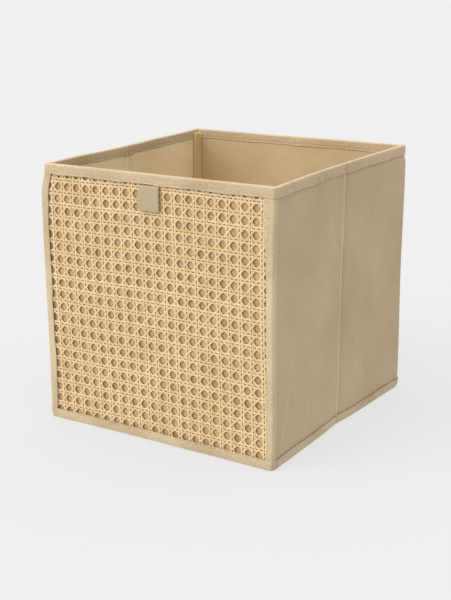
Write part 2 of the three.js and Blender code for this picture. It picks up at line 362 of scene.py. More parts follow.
# ------------------------------------------------------------
# Greyboards. Plain 2 mm boards of pressed waste paper inside every panel, which make the soft
# walls stand up. They follow their cloth, and stop short of the seams so that these can fold.
# ------------------------------------------------------------
# Raw greyboard: dull, and speckled with darker fibres.
greyboard, tree = new_material("raw greyboard")
board_place = add_node(tree, "ShaderNodeTexCoord").outputs["Object"]
specks = noise(tree, board_place, 900.0, 5.0, 0.7)
surface(tree, {
    "Base Color": two_tones(tree, specks, "#857866", "#aa9c87"), "Roughness": 0.95,
    "Normal": bump(tree, specks, 0.4, 0.0002),
})


def corner(x, y, radius, first, last, steps=5):
    """Points round a corner of the plan that would be sharp at x, y, between two headings."""
    turn = np.radians(np.linspace(first, last, steps))
    centre = np.array([x - math.copysign(radius, x), y - math.copysign(radius, y)])
    return centre + radius * np.column_stack([np.cos(turn), np.sin(turn)])


def straight(start, end, steps=30):
    """Points along a straight stretch of the plan."""
    return np.linspace(start, end, steps)


def upright(plan, heights):
    """Rows for a sheet that stands on the plan. The plan runs anticlockwise seen from above."""
    return np.array([[(x, y, z) for z in heights] for x, y in plan])


def mirrored(rows):
    """The same rows for the left side of the bin, still facing the same way."""
    return np.asarray(rows)[::-1] * (-1, 1, 1)


board_heights = np.linspace(10, 303, 40)
board_x = HALF_X - 1
right_rear_board = upright(straight((board_x, CREASE_Y + 12), (board_x, 145)), board_heights)
right_front_board = upright(straight((board_x, -145), (board_x, CREASE_Y - 12)), board_heights)
board_rows = {
    "rear": upright(straight((147, HALF_Y - 1), (-147, HALF_Y - 1)), board_heights),
    "front": upright(straight((-149, -151.5), (149, -151.5)), board_heights),
    "right_rear": right_rear_board,
    "right_front": right_front_board,
    "left_rear": mirrored(right_rear_board),
    "left_front": mirrored(right_front_board),
}
BODIES = {
    "rear": "root",
    "front": "front_wall",
    "right_rear": "right_rear_half",
    "right_front": "right_front_half",
    "left_rear": "left_rear_half",
    "left_front": "left_front_half",
}
for panel, rows in board_rows.items():
    board = sheet_of_cloth(f"{panel}_greyboard", rows, BOARD, greyboard)
    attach(board, BODIES[panel])
    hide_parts(f"{panel}_board")

# ------------------------------------------------------------
# Outer cloth of the rear and side walls. Spunbonded polypropylene, sewn on beside the crease of
# each side wall, where there is no board, and carried round the rear corners in a soft bend.
# ------------------------------------------------------------
CREASE_EDGE = 3.4
REAR_BEND = 3
wall_heights = np.concatenate([np.linspace(6.2, 290, 64), np.linspace(294, 306.4, 4)])


def pinch(plan, outwards):
    """Draws a side wall's cloth towards the middle of the wall beside its crease, in mm."""
    plan = np.array(plan)
    near = 1 - smooth(np.abs(plan[:, 1] - CREASE_Y), CREASE_EDGE, 11)
    plan[:, 0] += outwards * near
    return plan


def along_wall(x, y, bend, reach, steps, first, last):
    """The plan of a strip along the rear or the front wall, with a bend at each corner.

    It starts at the right on the rear wall, and at the left on the front one. The steps are on
    its straight stretch, which reaches as far either way. The headings are at its two ends.
    """
    start, middle = (1, 90) if y > 0 else (-1, 270)
    return np.vstack([
        corner(start * x, y, bend, first, middle),
        straight((start * reach, y), (-start * reach, y), steps),
        corner(-start * x, y, bend, middle, last),
    ])


rear_outer = along_wall(HALF_X, HALF_Y, REAR_BEND, HALF_X - REAR_BEND - 5, 50, 45, 135)
right_rear_outer = np.vstack([
    straight((HALF_X, CREASE_Y + CREASE_EDGE), (HALF_X, CREASE_Y + 14), 8)[:-1],
    straight((HALF_X, CREASE_Y + 14), (HALF_X, HALF_Y - REAR_BEND - 4), 28),
    corner(HALF_X, HALF_Y, REAR_BEND, 0, 45),
])
right_front_outer = np.vstack([
    straight((HALF_X, -148.1), (HALF_X, -110), 26)[:-1],
    straight((HALF_X, -110), (HALF_X, CREASE_Y - 14), 24)[:-1],
    straight((HALF_X, CREASE_Y - 14), (HALF_X, CREASE_Y - CREASE_EDGE), 8),
])
right_rear_rows = upright(pinch(right_rear_outer, -0.9), wall_heights)
right_front_rows = upright(pinch(right_front_outer, -0.9), wall_heights)


def hinge_rear(cloth):
    """Cloth at a rear corner, with its place baked into its mesh; it is joined to no body."""
    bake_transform(cloth)


def hinge_right_front(cloth):
    """Cloth at the front right corner, with its place baked into its mesh; it is joined to no
    body.
    """
    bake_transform(cloth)


rear_rows = upright(rear_outer, wall_heights)
rear_cloth = sheet_of_cloth("rear_outer_cloth", rear_rows, CLOTH, wall_cloth)
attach(rear_cloth, "root")
declare(["rear_outer_fabric"])
for side in ("right", "left"):
    turned = mirrored if side == "left" else np.asarray
    rear_half = sheet_of_cloth(
        f"{side}_rear_outer_cloth", turned(right_rear_rows), CLOTH, wall_cloth)
    hinge_rear(rear_half)
    declare([f"{side}_rear_outer_fabric"])
    front_half = sheet_of_cloth(
        f"{side}_front_outer_cloth", turned(right_front_rows), CLOTH, wall_cloth)
    if side == "right":
        hinge_right_front(front_half)
    else:
        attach(front_half, "left_front_half")
    declare([f"{side}_front_outer_fabric"])

# ------------------------------------------------------------
# Linings. The same spunbonded cloth, a little warmer in colour, on the inside of every wall. At
# a crease it is drawn out to meet the outer cloth.
# ------------------------------------------------------------
lining_cloth = spunbond("warm beige spunbonded lining", "#c9b48e", "#bca580", 0.9, 1.8)
# The side linings are painted paler than the rear and front ones: painted light on the inner side
# walls.
side_lining_painted_light = spunbond("spunbonded side lining painted pale as light", "#ecdab3", "#dcc79f", 0.9, 2.0)

WALL = 4
in_x = HALF_X - WALL
in_y = HALF_Y - WALL
rear_lining = straight((-in_x + 0.4, in_y), (in_x - 0.4, in_y), 56)
front_lining = straight((in_x - 0.4, -148.5), (-in_x + 0.4, -148.5), 56)
right_rear_lining = np.vstack([
    corner(in_x, in_y, 1.0, 45, 0),
    straight((in_x, 145), (in_x, CREASE_Y + 12), 26),
    straight((in_x, CREASE_Y + 10.5), (in_x, CREASE_Y + CREASE_EDGE), 7),
])
right_front_lining = np.vstack([
    straight((in_x, CREASE_Y - CREASE_EDGE), (in_x, CREASE_Y - 10.5), 7),
    straight((in_x, CREASE_Y - 12), (in_x, -148.3), 30),
])
lining_rows = {
    "rear": upright(rear_lining, wall_heights),
    "front": upright(front_lining, wall_heights),
    "right_rear": upright(pinch(right_rear_lining, 1.7), wall_heights),
    "right_front": upright(pinch(right_front_lining, 1.7), wall_heights),
}
for half in ("rear", "front"):
    lining_rows[f"left_{half}"] = mirrored(lining_rows[f"right_{half}"])
for panel, rows in lining_rows.items():
    finish = lining_cloth if panel in ("rear", "front") else side_lining_painted_light
    lining = sheet_of_cloth(f"{panel}_lining_cloth", rows, CLOTH, finish)
    if panel in ("right_rear", "left_rear"):
        hinge_rear(lining)
    elif panel == "right_front":
        hinge_right_front(lining)
    else:
        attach(lining, BODIES[panel])
    declare([f"{panel}_lining"])

# ------------------------------------------------------------
# Creases. Down the middle of each side wall the outer cloth and the lining are sewn together in
# two lines 8 mm apart, with no board between, so that the wall can fold inwards there.
# ------------------------------------------------------------
# The inner crease strip is painted pale: painted light on the channel inside the side wall.
crease_lining_painted_light = spunbond("spunbonded crease lining painted pale as light", "#f2e2bf", "#e4d2ad", 0.9, 1.0)
# The outer crease strip is painted paler than the wall cloth: painted light on the ridge of the
# crease.
crease_ridge_painted_light = spunbond("spunbonded crease cloth painted pale as light on its ridge", "#d9c4a2", "#c9b491", 0.9, 1.0)
crease_y = CREASE_Y + np.array([-3.7, -3.0, -2.5, -2.1, -1.5, -0.9, -0.3, 0.3, 1.0, 2.2, 3.0, 3.7])
crease_out = np.array([-0.9, -0.9, 0.2, 0.9, 1.1, 0.8, 0.1, -0.6, -1.3, -1.6, -1.5, -0.9])
crease_outer = upright(np.column_stack([HALF_X + crease_out, crease_y]), wall_heights)
# The ridge runs out under the rim tape and the hem.
crease_outer[..., 0] -= np.clip(crease_out, 0, 2)[:, None] * np.where(wall_heights > 292, 1, 0)
crease_inner = upright(np.column_stack([np.full(12, 150.7), crease_y])[::-1], wall_heights)
for side in ("right", "left"):
    turned = mirrored if side == "left" else np.asarray
    for face, rows, material, slot in (
        ("outer", crease_outer, crease_ridge_painted_light, "non_woven_fabric"),
        ("inner", crease_inner, crease_lining_painted_light, "lining_fabric"),
    ):
        strip = sheet_of_cloth(f"{side}_crease_{face}_cloth", turned(rows), CLOTH, material)
        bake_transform(strip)
        declare([f"{side}_crease_channel"])

# ------------------------------------------------------------
# Front cloth. The plain spunbonded cloth that shows through the holes of the cane. It lies flat
# on the front board, painted a little darker as painted shade from the cane, and darker still
# in patches that vary from hole to hole.
# ------------------------------------------------------------
# Painted shade: the darker tone, in patches about 12 mm apart, stands in for the cane's shade in
# its holes.
backing_cloth_painted_shade = spunbond("spunbonded backing cloth with painted cane shade", "#cdb088", "#a88659", 0.9, 2.6, 12)
BACKING_Y = -152.1
front_plan = straight((-HALF_X + 0.4, BACKING_Y), (HALF_X - 0.4, BACKING_Y), 60)
front_rows = upright(front_plan, wall_heights)
front_cloth = sheet_of_cloth("front_backing_cloth", front_rows, 0.5, backing_cloth_painted_shade)
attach(front_cloth, "front_wall")
declare(["front_outer_fabric"])

# ------------------------------------------------------------
# Cane webbing. Machine-woven rattan peel on the front: pairs of upright and level strands
# 14 mm apart, and single slanting strands both ways between them, which leave rounded holes.
# ------------------------------------------------------------
PITCH_X = 13.75
PITCH_Z = 14.25
FIRST_HOLE = (-127.1, 27.75)
PAIR_SPREAD = 1.6
CANE_Y = -153.65

# Rattan peel: smooth and slightly glossy outside, straw yellow, with long fine grain. Every
# strand has its own tone.
rattan_peel, tree = new_material("natural rattan peel")
strand_tone = add_node(tree, "ShaderNodeAttribute", attribute_name="strand").outputs["Fac"]
peel_place = add_node(tree, "ShaderNodeTexCoord").outputs["Object"]
patchy = noise(tree, peel_place, 55.0, 3.0, 0.6)
grain = noise(tree, peel_place, 1400.0, 2.0, 0.6)
tone = math_node(tree, "ADD", strand_tone, patchy)
surface(tree, {
    "Base Color": two_tones(tree, spread_out(tree, tone, 0.4, 1.5), "#d0ae7b", "#e2c69a"),
    "Roughness": 0.55, "IOR": 1.5, "Specular IOR Level": 0.3,
    "Normal": bump(tree, grain, 0.35, 0.00008),
})


def new_tree(name, inputs):
    """A geometry tree with the named inputs. Returns it, and the outputs that give them."""
    tree = bpy.data.node_groups.new(name, "GeometryNodeTree")
    tree.interface.new_socket("Geometry", in_out="INPUT", socket_type="NodeSocketGeometry")
    for title, kind in inputs.items():
        tree.interface.new_socket(title, in_out="INPUT", socket_type=kind)
    tree.interface.new_socket("Geometry", in_out="OUTPUT", socket_type="NodeSocketGeometry")
    return tree, add_node(tree, "NodeGroupInput").outputs


# Strands laid side by side in the plane z = 0, cut to the panel, waved over and under each
# other, and given the flat rounded section of split cane. Lengths are in metres.
strands, given = new_tree("strands of cane", {
    "Count": "NodeSocketInt", "Together": "NodeSocketInt", "Apart": "NodeSocketVector",
    "Start": "NodeSocketVector", "End": "NodeSocketVector", "Step": "NodeSocketVector",
    "Points": "NodeSocketInt", "Pitch X": "NodeSocketFloat", "Pitch Z": "NodeSocketFloat",
    "Spread": "NodeSocketFloat", "Rise": "NodeSocketFloat", "Slant": "NodeSocketFloat",
    "Width": "NodeSocketFloat", "Thickness": "NodeSocketFloat", "Low": "NodeSocketVector",
    "High": "NodeSocketVector", "Material": "NodeSocketMaterial",
})
row = add_node(strands, "GeometryNodeMeshLine", {
    "Count": given["Count"], "Start Location": (0, 0, 0), "Offset": given["Step"],
}, mode="OFFSET").outputs["Mesh"]
strand = add_node(strands, "GeometryNodeCurvePrimitiveLine", {
    "Start": given["Start"], "End": given["End"],
}).outputs["Curve"]
strand = add_node(strands, "GeometryNodeResampleCurve", {
    "Curve": strand, "Count": given["Points"],
}).outputs["Curve"]
together = add_node(strands, "GeometryNodeMeshLine", {
    "Count": given["Together"], "Start Location": (0, 0, 0), "Offset": given["Apart"],
}, mode="OFFSET").outputs["Mesh"]
laid = add_node(strands, "GeometryNodeInstanceOnPoints", {
    "Points": together, "Instance": strand,
}).outputs["Instances"]
laid = add_node(strands, "GeometryNodeInstanceOnPoints", {
    "Points": row, "Instance": laid,
}).outputs["Instances"]
laid = add_node(strands, "GeometryNodeRealizeInstances", {"Geometry": laid}).outputs["Geometry"]
own_tone = add_node(strands, "FunctionNodeRandomValue", {2: 0.0, 3: 1.0, "Seed": 7},
                    data_type="FLOAT").outputs[1]
laid = add_node(strands, "GeometryNodeStoreNamedAttribute", {
    "Geometry": laid, "Name": "strand", "Value": own_tone,
}, data_type="FLOAT", domain="CURVE").outputs["Geometry"]


def work(operation, a, b=0.0):
    """The result of one sum in the tree of the strands."""
    return math_node(strands, operation, a, b)


place = add_node(strands, "GeometryNodeInputPosition").outputs["Position"]
xyz = add_node(strands, "ShaderNodeSeparateXYZ", {"Vector": place}).outputs
low = add_node(strands, "ShaderNodeSeparateXYZ", {"Vector": given["Low"]}).outputs
high = add_node(strands, "ShaderNodeSeparateXYZ", {"Vector": given["High"]}).outputs
outside = work("LESS_THAN", xyz["X"], low["X"])
for past in (("LESS_THAN", xyz["Y"], low["Y"]), ("GREATER_THAN", xyz["X"], high["X"]),
             ("GREATER_THAN", xyz["Y"], high["Y"])):
    outside = work("MAXIMUM", outside, work(*past))
laid = add_node(strands, "GeometryNodeDeleteGeometry", {
    "Geometry": laid, "Selection": outside,
}, domain="POINT").outputs["Geometry"]


def from_crossing(coordinate, pitch):
    """How far a place is from the middle of the nearest pair of strands."""
    nearest = work("ROUND", work("DIVIDE", coordinate, pitch))
    return work("SUBTRACT", coordinate, work("MULTIPLY", nearest, pitch))


near_x = from_crossing(xyz["X"], given["Pitch X"])
near_y = from_crossing(xyz["Y"], given["Pitch Z"])
quarter = work("MULTIPLY", given["Spread"], 2 / math.pi)
wave = work("MULTIPLY", work("SINE", work("DIVIDE", near_x, quarter)),
            work("SINE", work("DIVIDE", near_y, quarter)))
far = work("MAXIMUM", work("ABSOLUTE", near_x), work("ABSOLUTE", near_y))
crossing = work("LESS_THAN", far, work("MULTIPLY", given["Spread"], 2.0))
over_under = work("MULTIPLY", work("MULTIPLY", wave, crossing), given["Rise"])
turn = work("MULTIPLY", work("DIVIDE", near_x, given["Pitch X"]), math.tau)
slanting = work("MULTIPLY", given["Slant"], work("COSINE", turn))
height = work("ADD", over_under, slanting)
lift = add_node(strands, "ShaderNodeCombineXYZ", {"Z": height}).outputs["Vector"]
waved = add_node(strands, "GeometryNodeSetPosition", {
    "Geometry": laid, "Offset": lift,
}).outputs["Geometry"]
waved = add_node(strands, "GeometryNodeSetCurveNormal", {"Curve": waved}, mode="Z_UP").outputs[0]
section = add_node(strands, "GeometryNodeCurvePrimitiveCircle", {
    "Resolution": 6, "Radius": 0.5,
}, mode="RADIUS").outputs["Curve"]
flattened = add_node(strands, "ShaderNodeCombineXYZ", {
    "X": given["Width"], "Y": given["Thickness"], "Z": 1.0,
}).outputs["Vector"]
section = add_node(strands, "GeometryNodeTransform", {
    "Geometry": section, "Scale": flattened,
}).outputs["Geometry"]
solid = add_node(strands, "GeometryNodeCurveToMesh", {
    "Curve": waved, "Profile Curve": section, "Fill Caps": True,
}).outputs["Mesh"]
solid = add_node(strands, "GeometryNodeRealizeInstances", {"Geometry": solid}).outputs["Geometry"]
solid = add_node(strands, "GeometryNodeSetMaterial", {
    "Geometry": solid, "Material": given["Material"],
}).outputs["Geometry"]
add_node(strands, "NodeGroupOutput", {"Geometry": solid})


def grow(name, tree, values, base=None):
    """A plain mesh object made by running a geometry tree with the given input values."""
    seed = bpy.data.objects.new(f"{name}_seed", base or bpy.data.meshes.new(f"{name}_seed"))
    scene.collection.objects.link(seed)
    modifier = seed.modifiers.new("grow", "NODES")
    modifier.node_group = tree
    for item in tree.interface.items_tree:
        if item.in_out == "INPUT" and item.name in values:
            modifier[item.identifier] = values[item.name]
    seed.update_tag()
    evaluated = seed.evaluated_get(bpy.context.evaluated_depsgraph_get())
    mesh = bpy.data.meshes.new_from_object(evaluated)
    bpy.data.objects.remove(seed)
    mesh.name = name
    made = bpy.data.objects.new(name, mesh)
    scene.collection.objects.link(made)
    return made


# The pattern is laid out from the crossing of two pairs near the middle of the panel.
crossing_x = FIRST_HOLE[0] - PITCH_X / 2 + 10 * PITCH_X
crossing_z = FIRST_HOLE[1] - PITCH_Z / 2 + 9 * PITCH_Z
CELLS = 12
reach_x = CELLS * PITCH_X / 1000
reach_z = CELLS * PITCH_Z / 1000
spread = PAIR_SPREAD / 1000
common = {
    "Pitch X": PITCH_X / 1000, "Pitch Z": PITCH_Z / 1000, "Spread": spread,
    "Points": 16 * CELLS + 1, "Material": rattan_peel,
    "Low": ((-151 - crossing_x) / 1000, (8 - crossing_z) / 1000, 0),
    "High": ((151 - crossing_x) / 1000, (305 - crossing_z) / 1000, 0),
}
step_x = (PITCH_X / 1000, 0, 0)
step_z = (0, PITCH_Z / 1000, 0)
pairs = {"Count": 2 * CELLS + 1, "Together": 2, "Width": 0.0024, "Thickness": 0.0004}
singles = {"Count": 4 * CELLS, "Together": 1, "Width": 0.0021, "Thickness": 0.00035}
near_end = -reach_x + PITCH_X / 2000
far_end = -3 * reach_x + PITCH_X / 2000
families = {
    "cane_upright_pairs": {
        **pairs, "Step": step_x, "Apart": (2 * spread, 0, 0), "Rise": 0.0002,
        "Start": (-reach_x - spread, -reach_z, 0), "End": (-reach_x - spread, reach_z, 0),
    },
    "cane_level_pairs": {
        **pairs, "Step": step_z, "Apart": (0, 2 * spread, 0), "Rise": -0.0002,
        "Start": (-reach_x, -reach_z - spread, 0), "End": (reach_x, -reach_z - spread, 0),
    },
    "cane_slanting_right": {
        **singles, "Step": step_x, "Slant": 0.00016,
        "Start": (far_end, -reach_z, 0), "End": (near_end, reach_z, 0),
    },
    "cane_slanting_left": {
        **singles, "Step": step_x, "Slant": -0.00016,
        "Start": (near_end, -reach_z, 0), "End": (far_end, reach_z, 0),
    },
}


def move_points(mesh, change):
    """Runs every point of a mesh, in mm, through a function and puts it back in metres."""
    points = np.empty(3 * len(mesh.vertices))
    mesh.vertices.foreach_get("co", points)
    mesh.vertices.foreach_set("co", (change(points.reshape(-1, 3) * 1000) / 1000).ravel())
    mesh.update()


def onto_the_front(points):
    """Stands the flat pattern up on the front panel, where its strands lean and sag a little."""
    x, y, z = points.T
    across, height = x + crossing_x, y + crossing_z
    drift = 0.8 - 1.3 * ((across - 20) / 130) ** 2 - 0.016 * (height - 150)
    climb = 1.0 * np.tanh((across + 55) / 30) - 0.6 * smooth(across, 40, 130)
    across = np.clip(across + drift, 0.5 - HALF_X, HALF_X - 0.5)
    return settle(np.column_stack([across, CANE_Y - z, height + climb]))


for name, values in families.items():
    cane = grow(name, strands, {**common, **values})
    move_points(cane.data, onto_the_front)
    cane.data.shade_smooth()
    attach(cane, "front_wall")
    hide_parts("front_cane_webbing")

# ------------------------------------------------------------
# Binding tapes. Strips of the same spunbonded cloth, folded and sewn over every raw edge: down
# both front corners, over the rim, round the foot, and in the two rear corners inside.
# ------------------------------------------------------------
tape_cloth = spunbond("pale beige spunbonded binding tape", "#cfbb9c", "#b09974", 2.6, 3.4)

RIM_LOW = box_mm("rear_rim_binding", 0, 2)
HEM_HIGH = box_mm("rear_hem_binding", 1, 2)
TAPE = 0.6
FRONT_BEND = 3.5
EDGE_BEND = 3.0
edge_x = HALF_X + 1
edge_y = -HALF_Y - 1
edge_heights = np.linspace(HEM_HIGH - 2, RIM_LOW + 2, 80)


def wavy(heights, amount, pace, start):
    """A hand-sewn edge: how far it strays from a straight line at each place along it, in mm."""
    heights = np.asarray(heights)
    return amount * (np.sin(heights / pace + start) + 0.5 * np.sin(2.3 * heights / pace + start))


edge_plan = np.vstack([
    [(143.2, edge_y + 0.3)],
    straight((143.8, edge_y), (edge_x - EDGE_BEND, edge_y), 6)[:-1],
    corner(edge_x, edge_y, EDGE_BEND, 270, 360, 7),
    [(edge_x, -150.2), (edge_x - 0.1, -148.6), (edge_x - 0.5, -148.2)],
])
edge_rows = upright(edge_plan, edge_heights)
# The edge of each tape that lies on the cane strays, and the right tape is wider near the rim.
fading = np.linspace(1, 0, 6)[:, None]
stray = fading * wavy(edge_heights, 0.35, 17, 0.6)
wider = 4.5 * smooth(edge_heights, 190, 292)
for side in ("right", "left"):
    if side == "right":
        rows = edge_rows.copy()
        rows[:6, :, 0] += stray + fading * (2.2 - wider)
    else:
        rows = mirrored(edge_rows)
        rows[-6:, :, 0] -= 1.4 * stray[::-1]
    edge_tape = sheet_of_cloth(f"front_{side}_edge_tape", rows, TAPE, tape_cloth)
    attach(edge_tape, "front_wall")
    declare([f"front_{side}_edge_binding"])


def over_the_rim(outer, inner, start):
    """Rows for a tape folded over the rim, between the plans of its two legs."""
    rows = []
    for k, (out, in_) in enumerate(zip(outer, inner)):
        inwards = (in_ - out) / np.linalg.norm(in_ - out)
        stray = 0.4 * math.sin(k / 2.3 + start) + 0.25 * math.sin(k / 0.9 + start)
        bend = [(1.5 * (1 - math.cos(a)), HEIGHT - 1.5 * (1 - math.sin(a)))
                for a in np.radians((0, 20, 40, 60, 80))]
        leg = [(0.25, RIM_LOW + stray), (0.0, RIM_LOW + 0.7 + stray), (0.1, RIM_LOW + 1.8),
               (0.4, RIM_LOW + 2.4), (0.1, RIM_LOW + 3.1), (0.0, RIM_LOW + 5),
               (0.0, RIM_LOW + 8)] + bend
        rows.append(
            [(*(out + d * inwards), z) for d, z in leg]
            + [(*(in_ - d * inwards), z) for d, z in leg[::-1]]
        )
    return np.array(rows)


# How far the tape's legs stand out of the wall's outer cloth and in from it, and how far each
# strip ends from the middle of the crease.
OUT = 1.5
IN = 4.6
CREASE_END = 0.25


def crease_notch(plan, amount):
    """Draws the tape in beside the crease, where it folds."""
    plan = np.array(plan)
    plan[:, 0] += amount * np.exp(-np.abs(plan[:, 1] - CREASE_Y) / 2.5)
    return plan


side_x = HALF_X + OUT
side_in_x = HALF_X - IN
rear_y = HALF_Y + OUT
rear_in_y = HALF_Y - IN
front_in_y = -147.9
crease_rear = CREASE_Y + CREASE_END
crease_front = CREASE_Y - CREASE_END
right_rear_out = crease_notch(np.vstack([
    straight((side_x, crease_rear), (side_x, CREASE_Y + 12), 10)[:-1],
    straight((side_x, CREASE_Y + 12), (side_x, rear_y - REAR_BEND), 26)[:-1],
    corner(side_x, rear_y, REAR_BEND, 0, 45),
]), -0.7)
right_rear_in = crease_notch(np.vstack([
    straight((side_in_x, crease_rear), (side_in_x, CREASE_Y + 12), 10)[:-1],
    straight((side_in_x, CREASE_Y + 12), (side_in_x, 147.5), 26)[:-1],
    corner(side_in_x, rear_in_y, 1.0, 0, 45),
]), 0.7)
rear_out = along_wall(side_x, rear_y, REAR_BEND, 147, 46, 45, 135)
rear_in = along_wall(side_in_x, rear_in_y, 1.0, 142, 46, 45, 135)
# The rim tape is one strip, whose ends lap on the right side.
LAP = -56
right_front_out = crease_notch(np.vstack([
    corner(side_x, -rear_y, FRONT_BEND, 315, 360),
    straight((side_x, FRONT_BEND + 3 - rear_y), (side_x, LAP - 0.3), 20),
    straight((side_x - 0.5, LAP + 0.1), (side_x - 0.2, CREASE_Y - 12), 12)[:-1],
    straight((side_x, CREASE_Y - 12), (side_x, crease_front), 10),
]), -0.7)
right_front_in = crease_notch(np.vstack([
    corner(side_in_x, front_in_y, 1.0, 315, 360),
    straight((side_in_x, -144), (side_in_x, LAP - 0.3), 20),
    straight((side_in_x, LAP + 0.1), (side_in_x, CREASE_Y - 12), 12)[:-1],
    straight((side_in_x, CREASE_Y - 12), (side_in_x, crease_front), 10),
]), 0.7)
left_front_out = right_front_out[4:].copy()
left_front_out[0, 1] = -149.3
left_front_in = right_front_in[4:].copy()
left_front_in[0, 1] = -147.5
front_out = np.vstack([
    [(-side_x, -149.7)],
    along_wall(side_x, -rear_y, FRONT_BEND, 148, 60, 180, 315),
])
front_in = np.vstack([
    [(-side_in_x, -147.7)],
    along_wall(side_in_x, front_in_y, 0.8, 144, 60, 180, 315),
])
rim_rows = {
    "rear": over_the_rim(rear_out, rear_in, 0.4),
    "right_rear": over_the_rim(right_rear_out, right_rear_in, 1.0),
    "right_front": over_the_rim(right_front_out, right_front_in, 2.1),
    "front": over_the_rim(front_out, front_in, 0.0),
    "left_rear": mirrored(over_the_rim(right_rear_out, right_rear_in, 3.0)),
    "left_front": mirrored(over_the_rim(left_front_out, left_front_in, 1.7)),
}
for panel, rows in rim_rows.items():
    rim_tape = sheet_of_cloth(f"{panel}_rim_tape", rows, TAPE, tape_cloth)
    if panel in ("right_rear", "left_rear"):
        hinge_rear(rim_tape)
    elif panel == "right_front":
        hinge_right_front(rim_tape)
    else:
        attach(rim_tape, BODIES[panel])
    declare([f"{panel}_rim_binding"])


FOOT = 5.5


def under_the_wall(plan):
    """The plan of a hem's inner edge, which lies under the wall."""
    reach = np.array([side_x - FOOT, rear_y - FOOT])
    return np.clip(plan, -reach, reach)


def round_the_foot(outer, start):
    """Rows for a hem: from under the wall, round its lower edge and up its outer face."""
    rows = []
    for k, (out, in_) in enumerate(zip(outer, under_the_wall(outer))):
        reach = np.linalg.norm(in_ - out)
        inwards = (in_ - out) / reach
        stray = 0.3 * math.sin(k / 2.7 + start)
        foot = [(reach, 0.0), (reach * 0.5, 0.0)]
        bend = [(1.4 * (1 - math.cos(a)), 1.4 * (1 - math.sin(a)))
                for a in np.radians((80, 55, 30, 0))]
        leg = [(0.0, 4.0), (0.0, 7.0), (0.1, 9.1), (0.4, 9.8), (0.1, 10.4),
               (0.0, HEM_HIGH - 0.6 + stray), (0.25, HEM_HIGH + stray)]
        rows.append([(*(out + d * inwards), z) for d, z in foot + bend + leg])
    return np.array(rows)


rear_hem = np.vstack([
    [(side_x, 147.2)],
    along_wall(side_x, rear_y, REAR_BEND, 147, 46, 0, 180),
    [(-side_x, 147.2)],
])
front_hem = np.vstack([
    [(-side_x, -148.4)],
    along_wall(side_x, -rear_y, FRONT_BEND, 149, 60, 180, 360),
    [(side_x, -148.4)],
])
right_rear_hem = straight((side_x, crease_rear), (side_x, 146.9), 40)
right_front_hem = straight((side_x, -148.1), (side_x, crease_front), 40)
hem_rows = {
    "rear": round_the_foot(rear_hem, 0.5),
    "front": round_the_foot(front_hem, 1.5),
    "right_rear": round_the_foot(right_rear_hem, 2.5),
    "right_front": round_the_foot(right_front_hem, 3.5),
}
for half in ("rear", "front"):
    hem_rows[f"left_{half}"] = mirrored(hem_rows[f"right_{half}"])
for panel, rows in hem_rows.items():
    hem_tape = sheet_of_cloth(f"{panel}_hem_tape", rows, TAPE, tape_cloth)
    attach(hem_tape, BODIES[panel])
    if panel != "rear":
        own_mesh(hem_tape)
    declare([f"{panel}_hem_binding"])

# The corner tapes are golden beige, and are painted lighter still: painted light in the rear
# corners inside.
corner_tape_painted_light = spunbond("golden beige corner tape painted lighter as light", "#dfc594", "#cfb07c", 1.5, 1.6)
strip_heights = np.linspace(6.2, HEIGHT - 3, 70)
corner_plan = np.vstack([
    [(142.8, 149.0), (143.4, 148.7)],
    straight((144, 148.6), (146.6, 148.6), 4),
    corner(147.6, 148.6, 1.0, 90, 0)[1:],
    straight((147.6, 147), (147.6, 140.5), 5),
    [(147.7, 139.9), (148.0, 139.5)],
])
for side in ("right", "left"):
    turned = mirrored if side == "left" else np.asarray
    rows = turned(upright(corner_plan, strip_heights))
    strip = sheet_of_cloth(f"rear_{side}_corner_tape", rows, TAPE, corner_tape_painted_light)
    hinge_rear(strip)
    declare([f"rear_{side}_corner_strip"])

# ------------------------------------------------------------
# Base board. A greyboard in a sewn cover of lining cloth, lying loose on the floor of the bin.
# The cover is drawn down round the edges of the board.
# ------------------------------------------------------------
for node in ("insert_base_fabric", "insert_board"):
    solid_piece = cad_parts[node]
    solid_piece.data.materials.clear()
    solid_piece.data.materials.append(lining_cloth if node == "insert_base_fabric" else greyboard)

# How far the cover has turned down at each distance from the edge of the board.
edge = [(0.0, 2.2), (0.0, 1.4), (0.15, 0.8), (0.5, 0.35), (1.2, 0.1), (2.5, 0.0)]
low_x, low_y, _ = (v * 1000 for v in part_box("insert_cover")[0])
high_x, high_y, top = (v * 1000 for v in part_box("insert_cover")[1])


def with_edges(low, high):
    """Places across the board and how far the cover has turned down at each, in mm."""
    near = [(low + d, fall) for d, fall in edge]
    middle = [(v, 0.0) for v in np.linspace(low + 8, high - 8, 30)]
    return near + middle + [(high - d, fall) for d, fall in edge[::-1]]


cover_rows = [[(x, y, top - max(fall_x, fall_y)) for y, fall_y in with_edges(low_y, high_y)]
              for x, fall_x in with_edges(low_x, high_x)]
cover = sheet_of_cloth("base_board_cover", cover_rows, 0.4, lining_cloth, move=np.asarray)
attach(cover, "insert")
declare(["insert_cover"])

# ------------------------------------------------------------
# Pull. A 27 mm woven ribbon, folded in half and caught under the rim tape of the front, near
# its middle. Its closed end hangs down over the cane.
# ------------------------------------------------------------
# Polyester ribbon in plain weave: flat, with fine upright threads and a faint cross rib.
ribbon_cloth, tree = new_material("beige woven polyester ribbon")
weave_map = add_node(tree, "ShaderNodeUVMap", uv_map="cloth").outputs["UV"]
warp = add_node(tree, "ShaderNodeTexWave", {
    "Vector": weave_map, "Scale": 210.0, "Distortion": 0.6, "Detail": 1.0,
}, wave_type="BANDS", bands_direction="X").outputs["Fac"]
weft = add_node(tree, "ShaderNodeTexWave", {
    "Vector": weave_map, "Scale": 330.0, "Distortion": 0.4, "Detail": 1.0,
}, wave_type="BANDS", bands_direction="Y").outputs["Fac"]
threads = math_node(tree, "MULTIPLY", warp, weft)
surface(tree, {
    "Base Color": two_tones(tree, threads, "#ab9777", "#bfac8b"), "Roughness": 0.7,
    "Specular IOR Level": 0.3, "Sheen Weight": 0.15, "Normal": bump(tree, threads, 0.5, 0.0001),
})

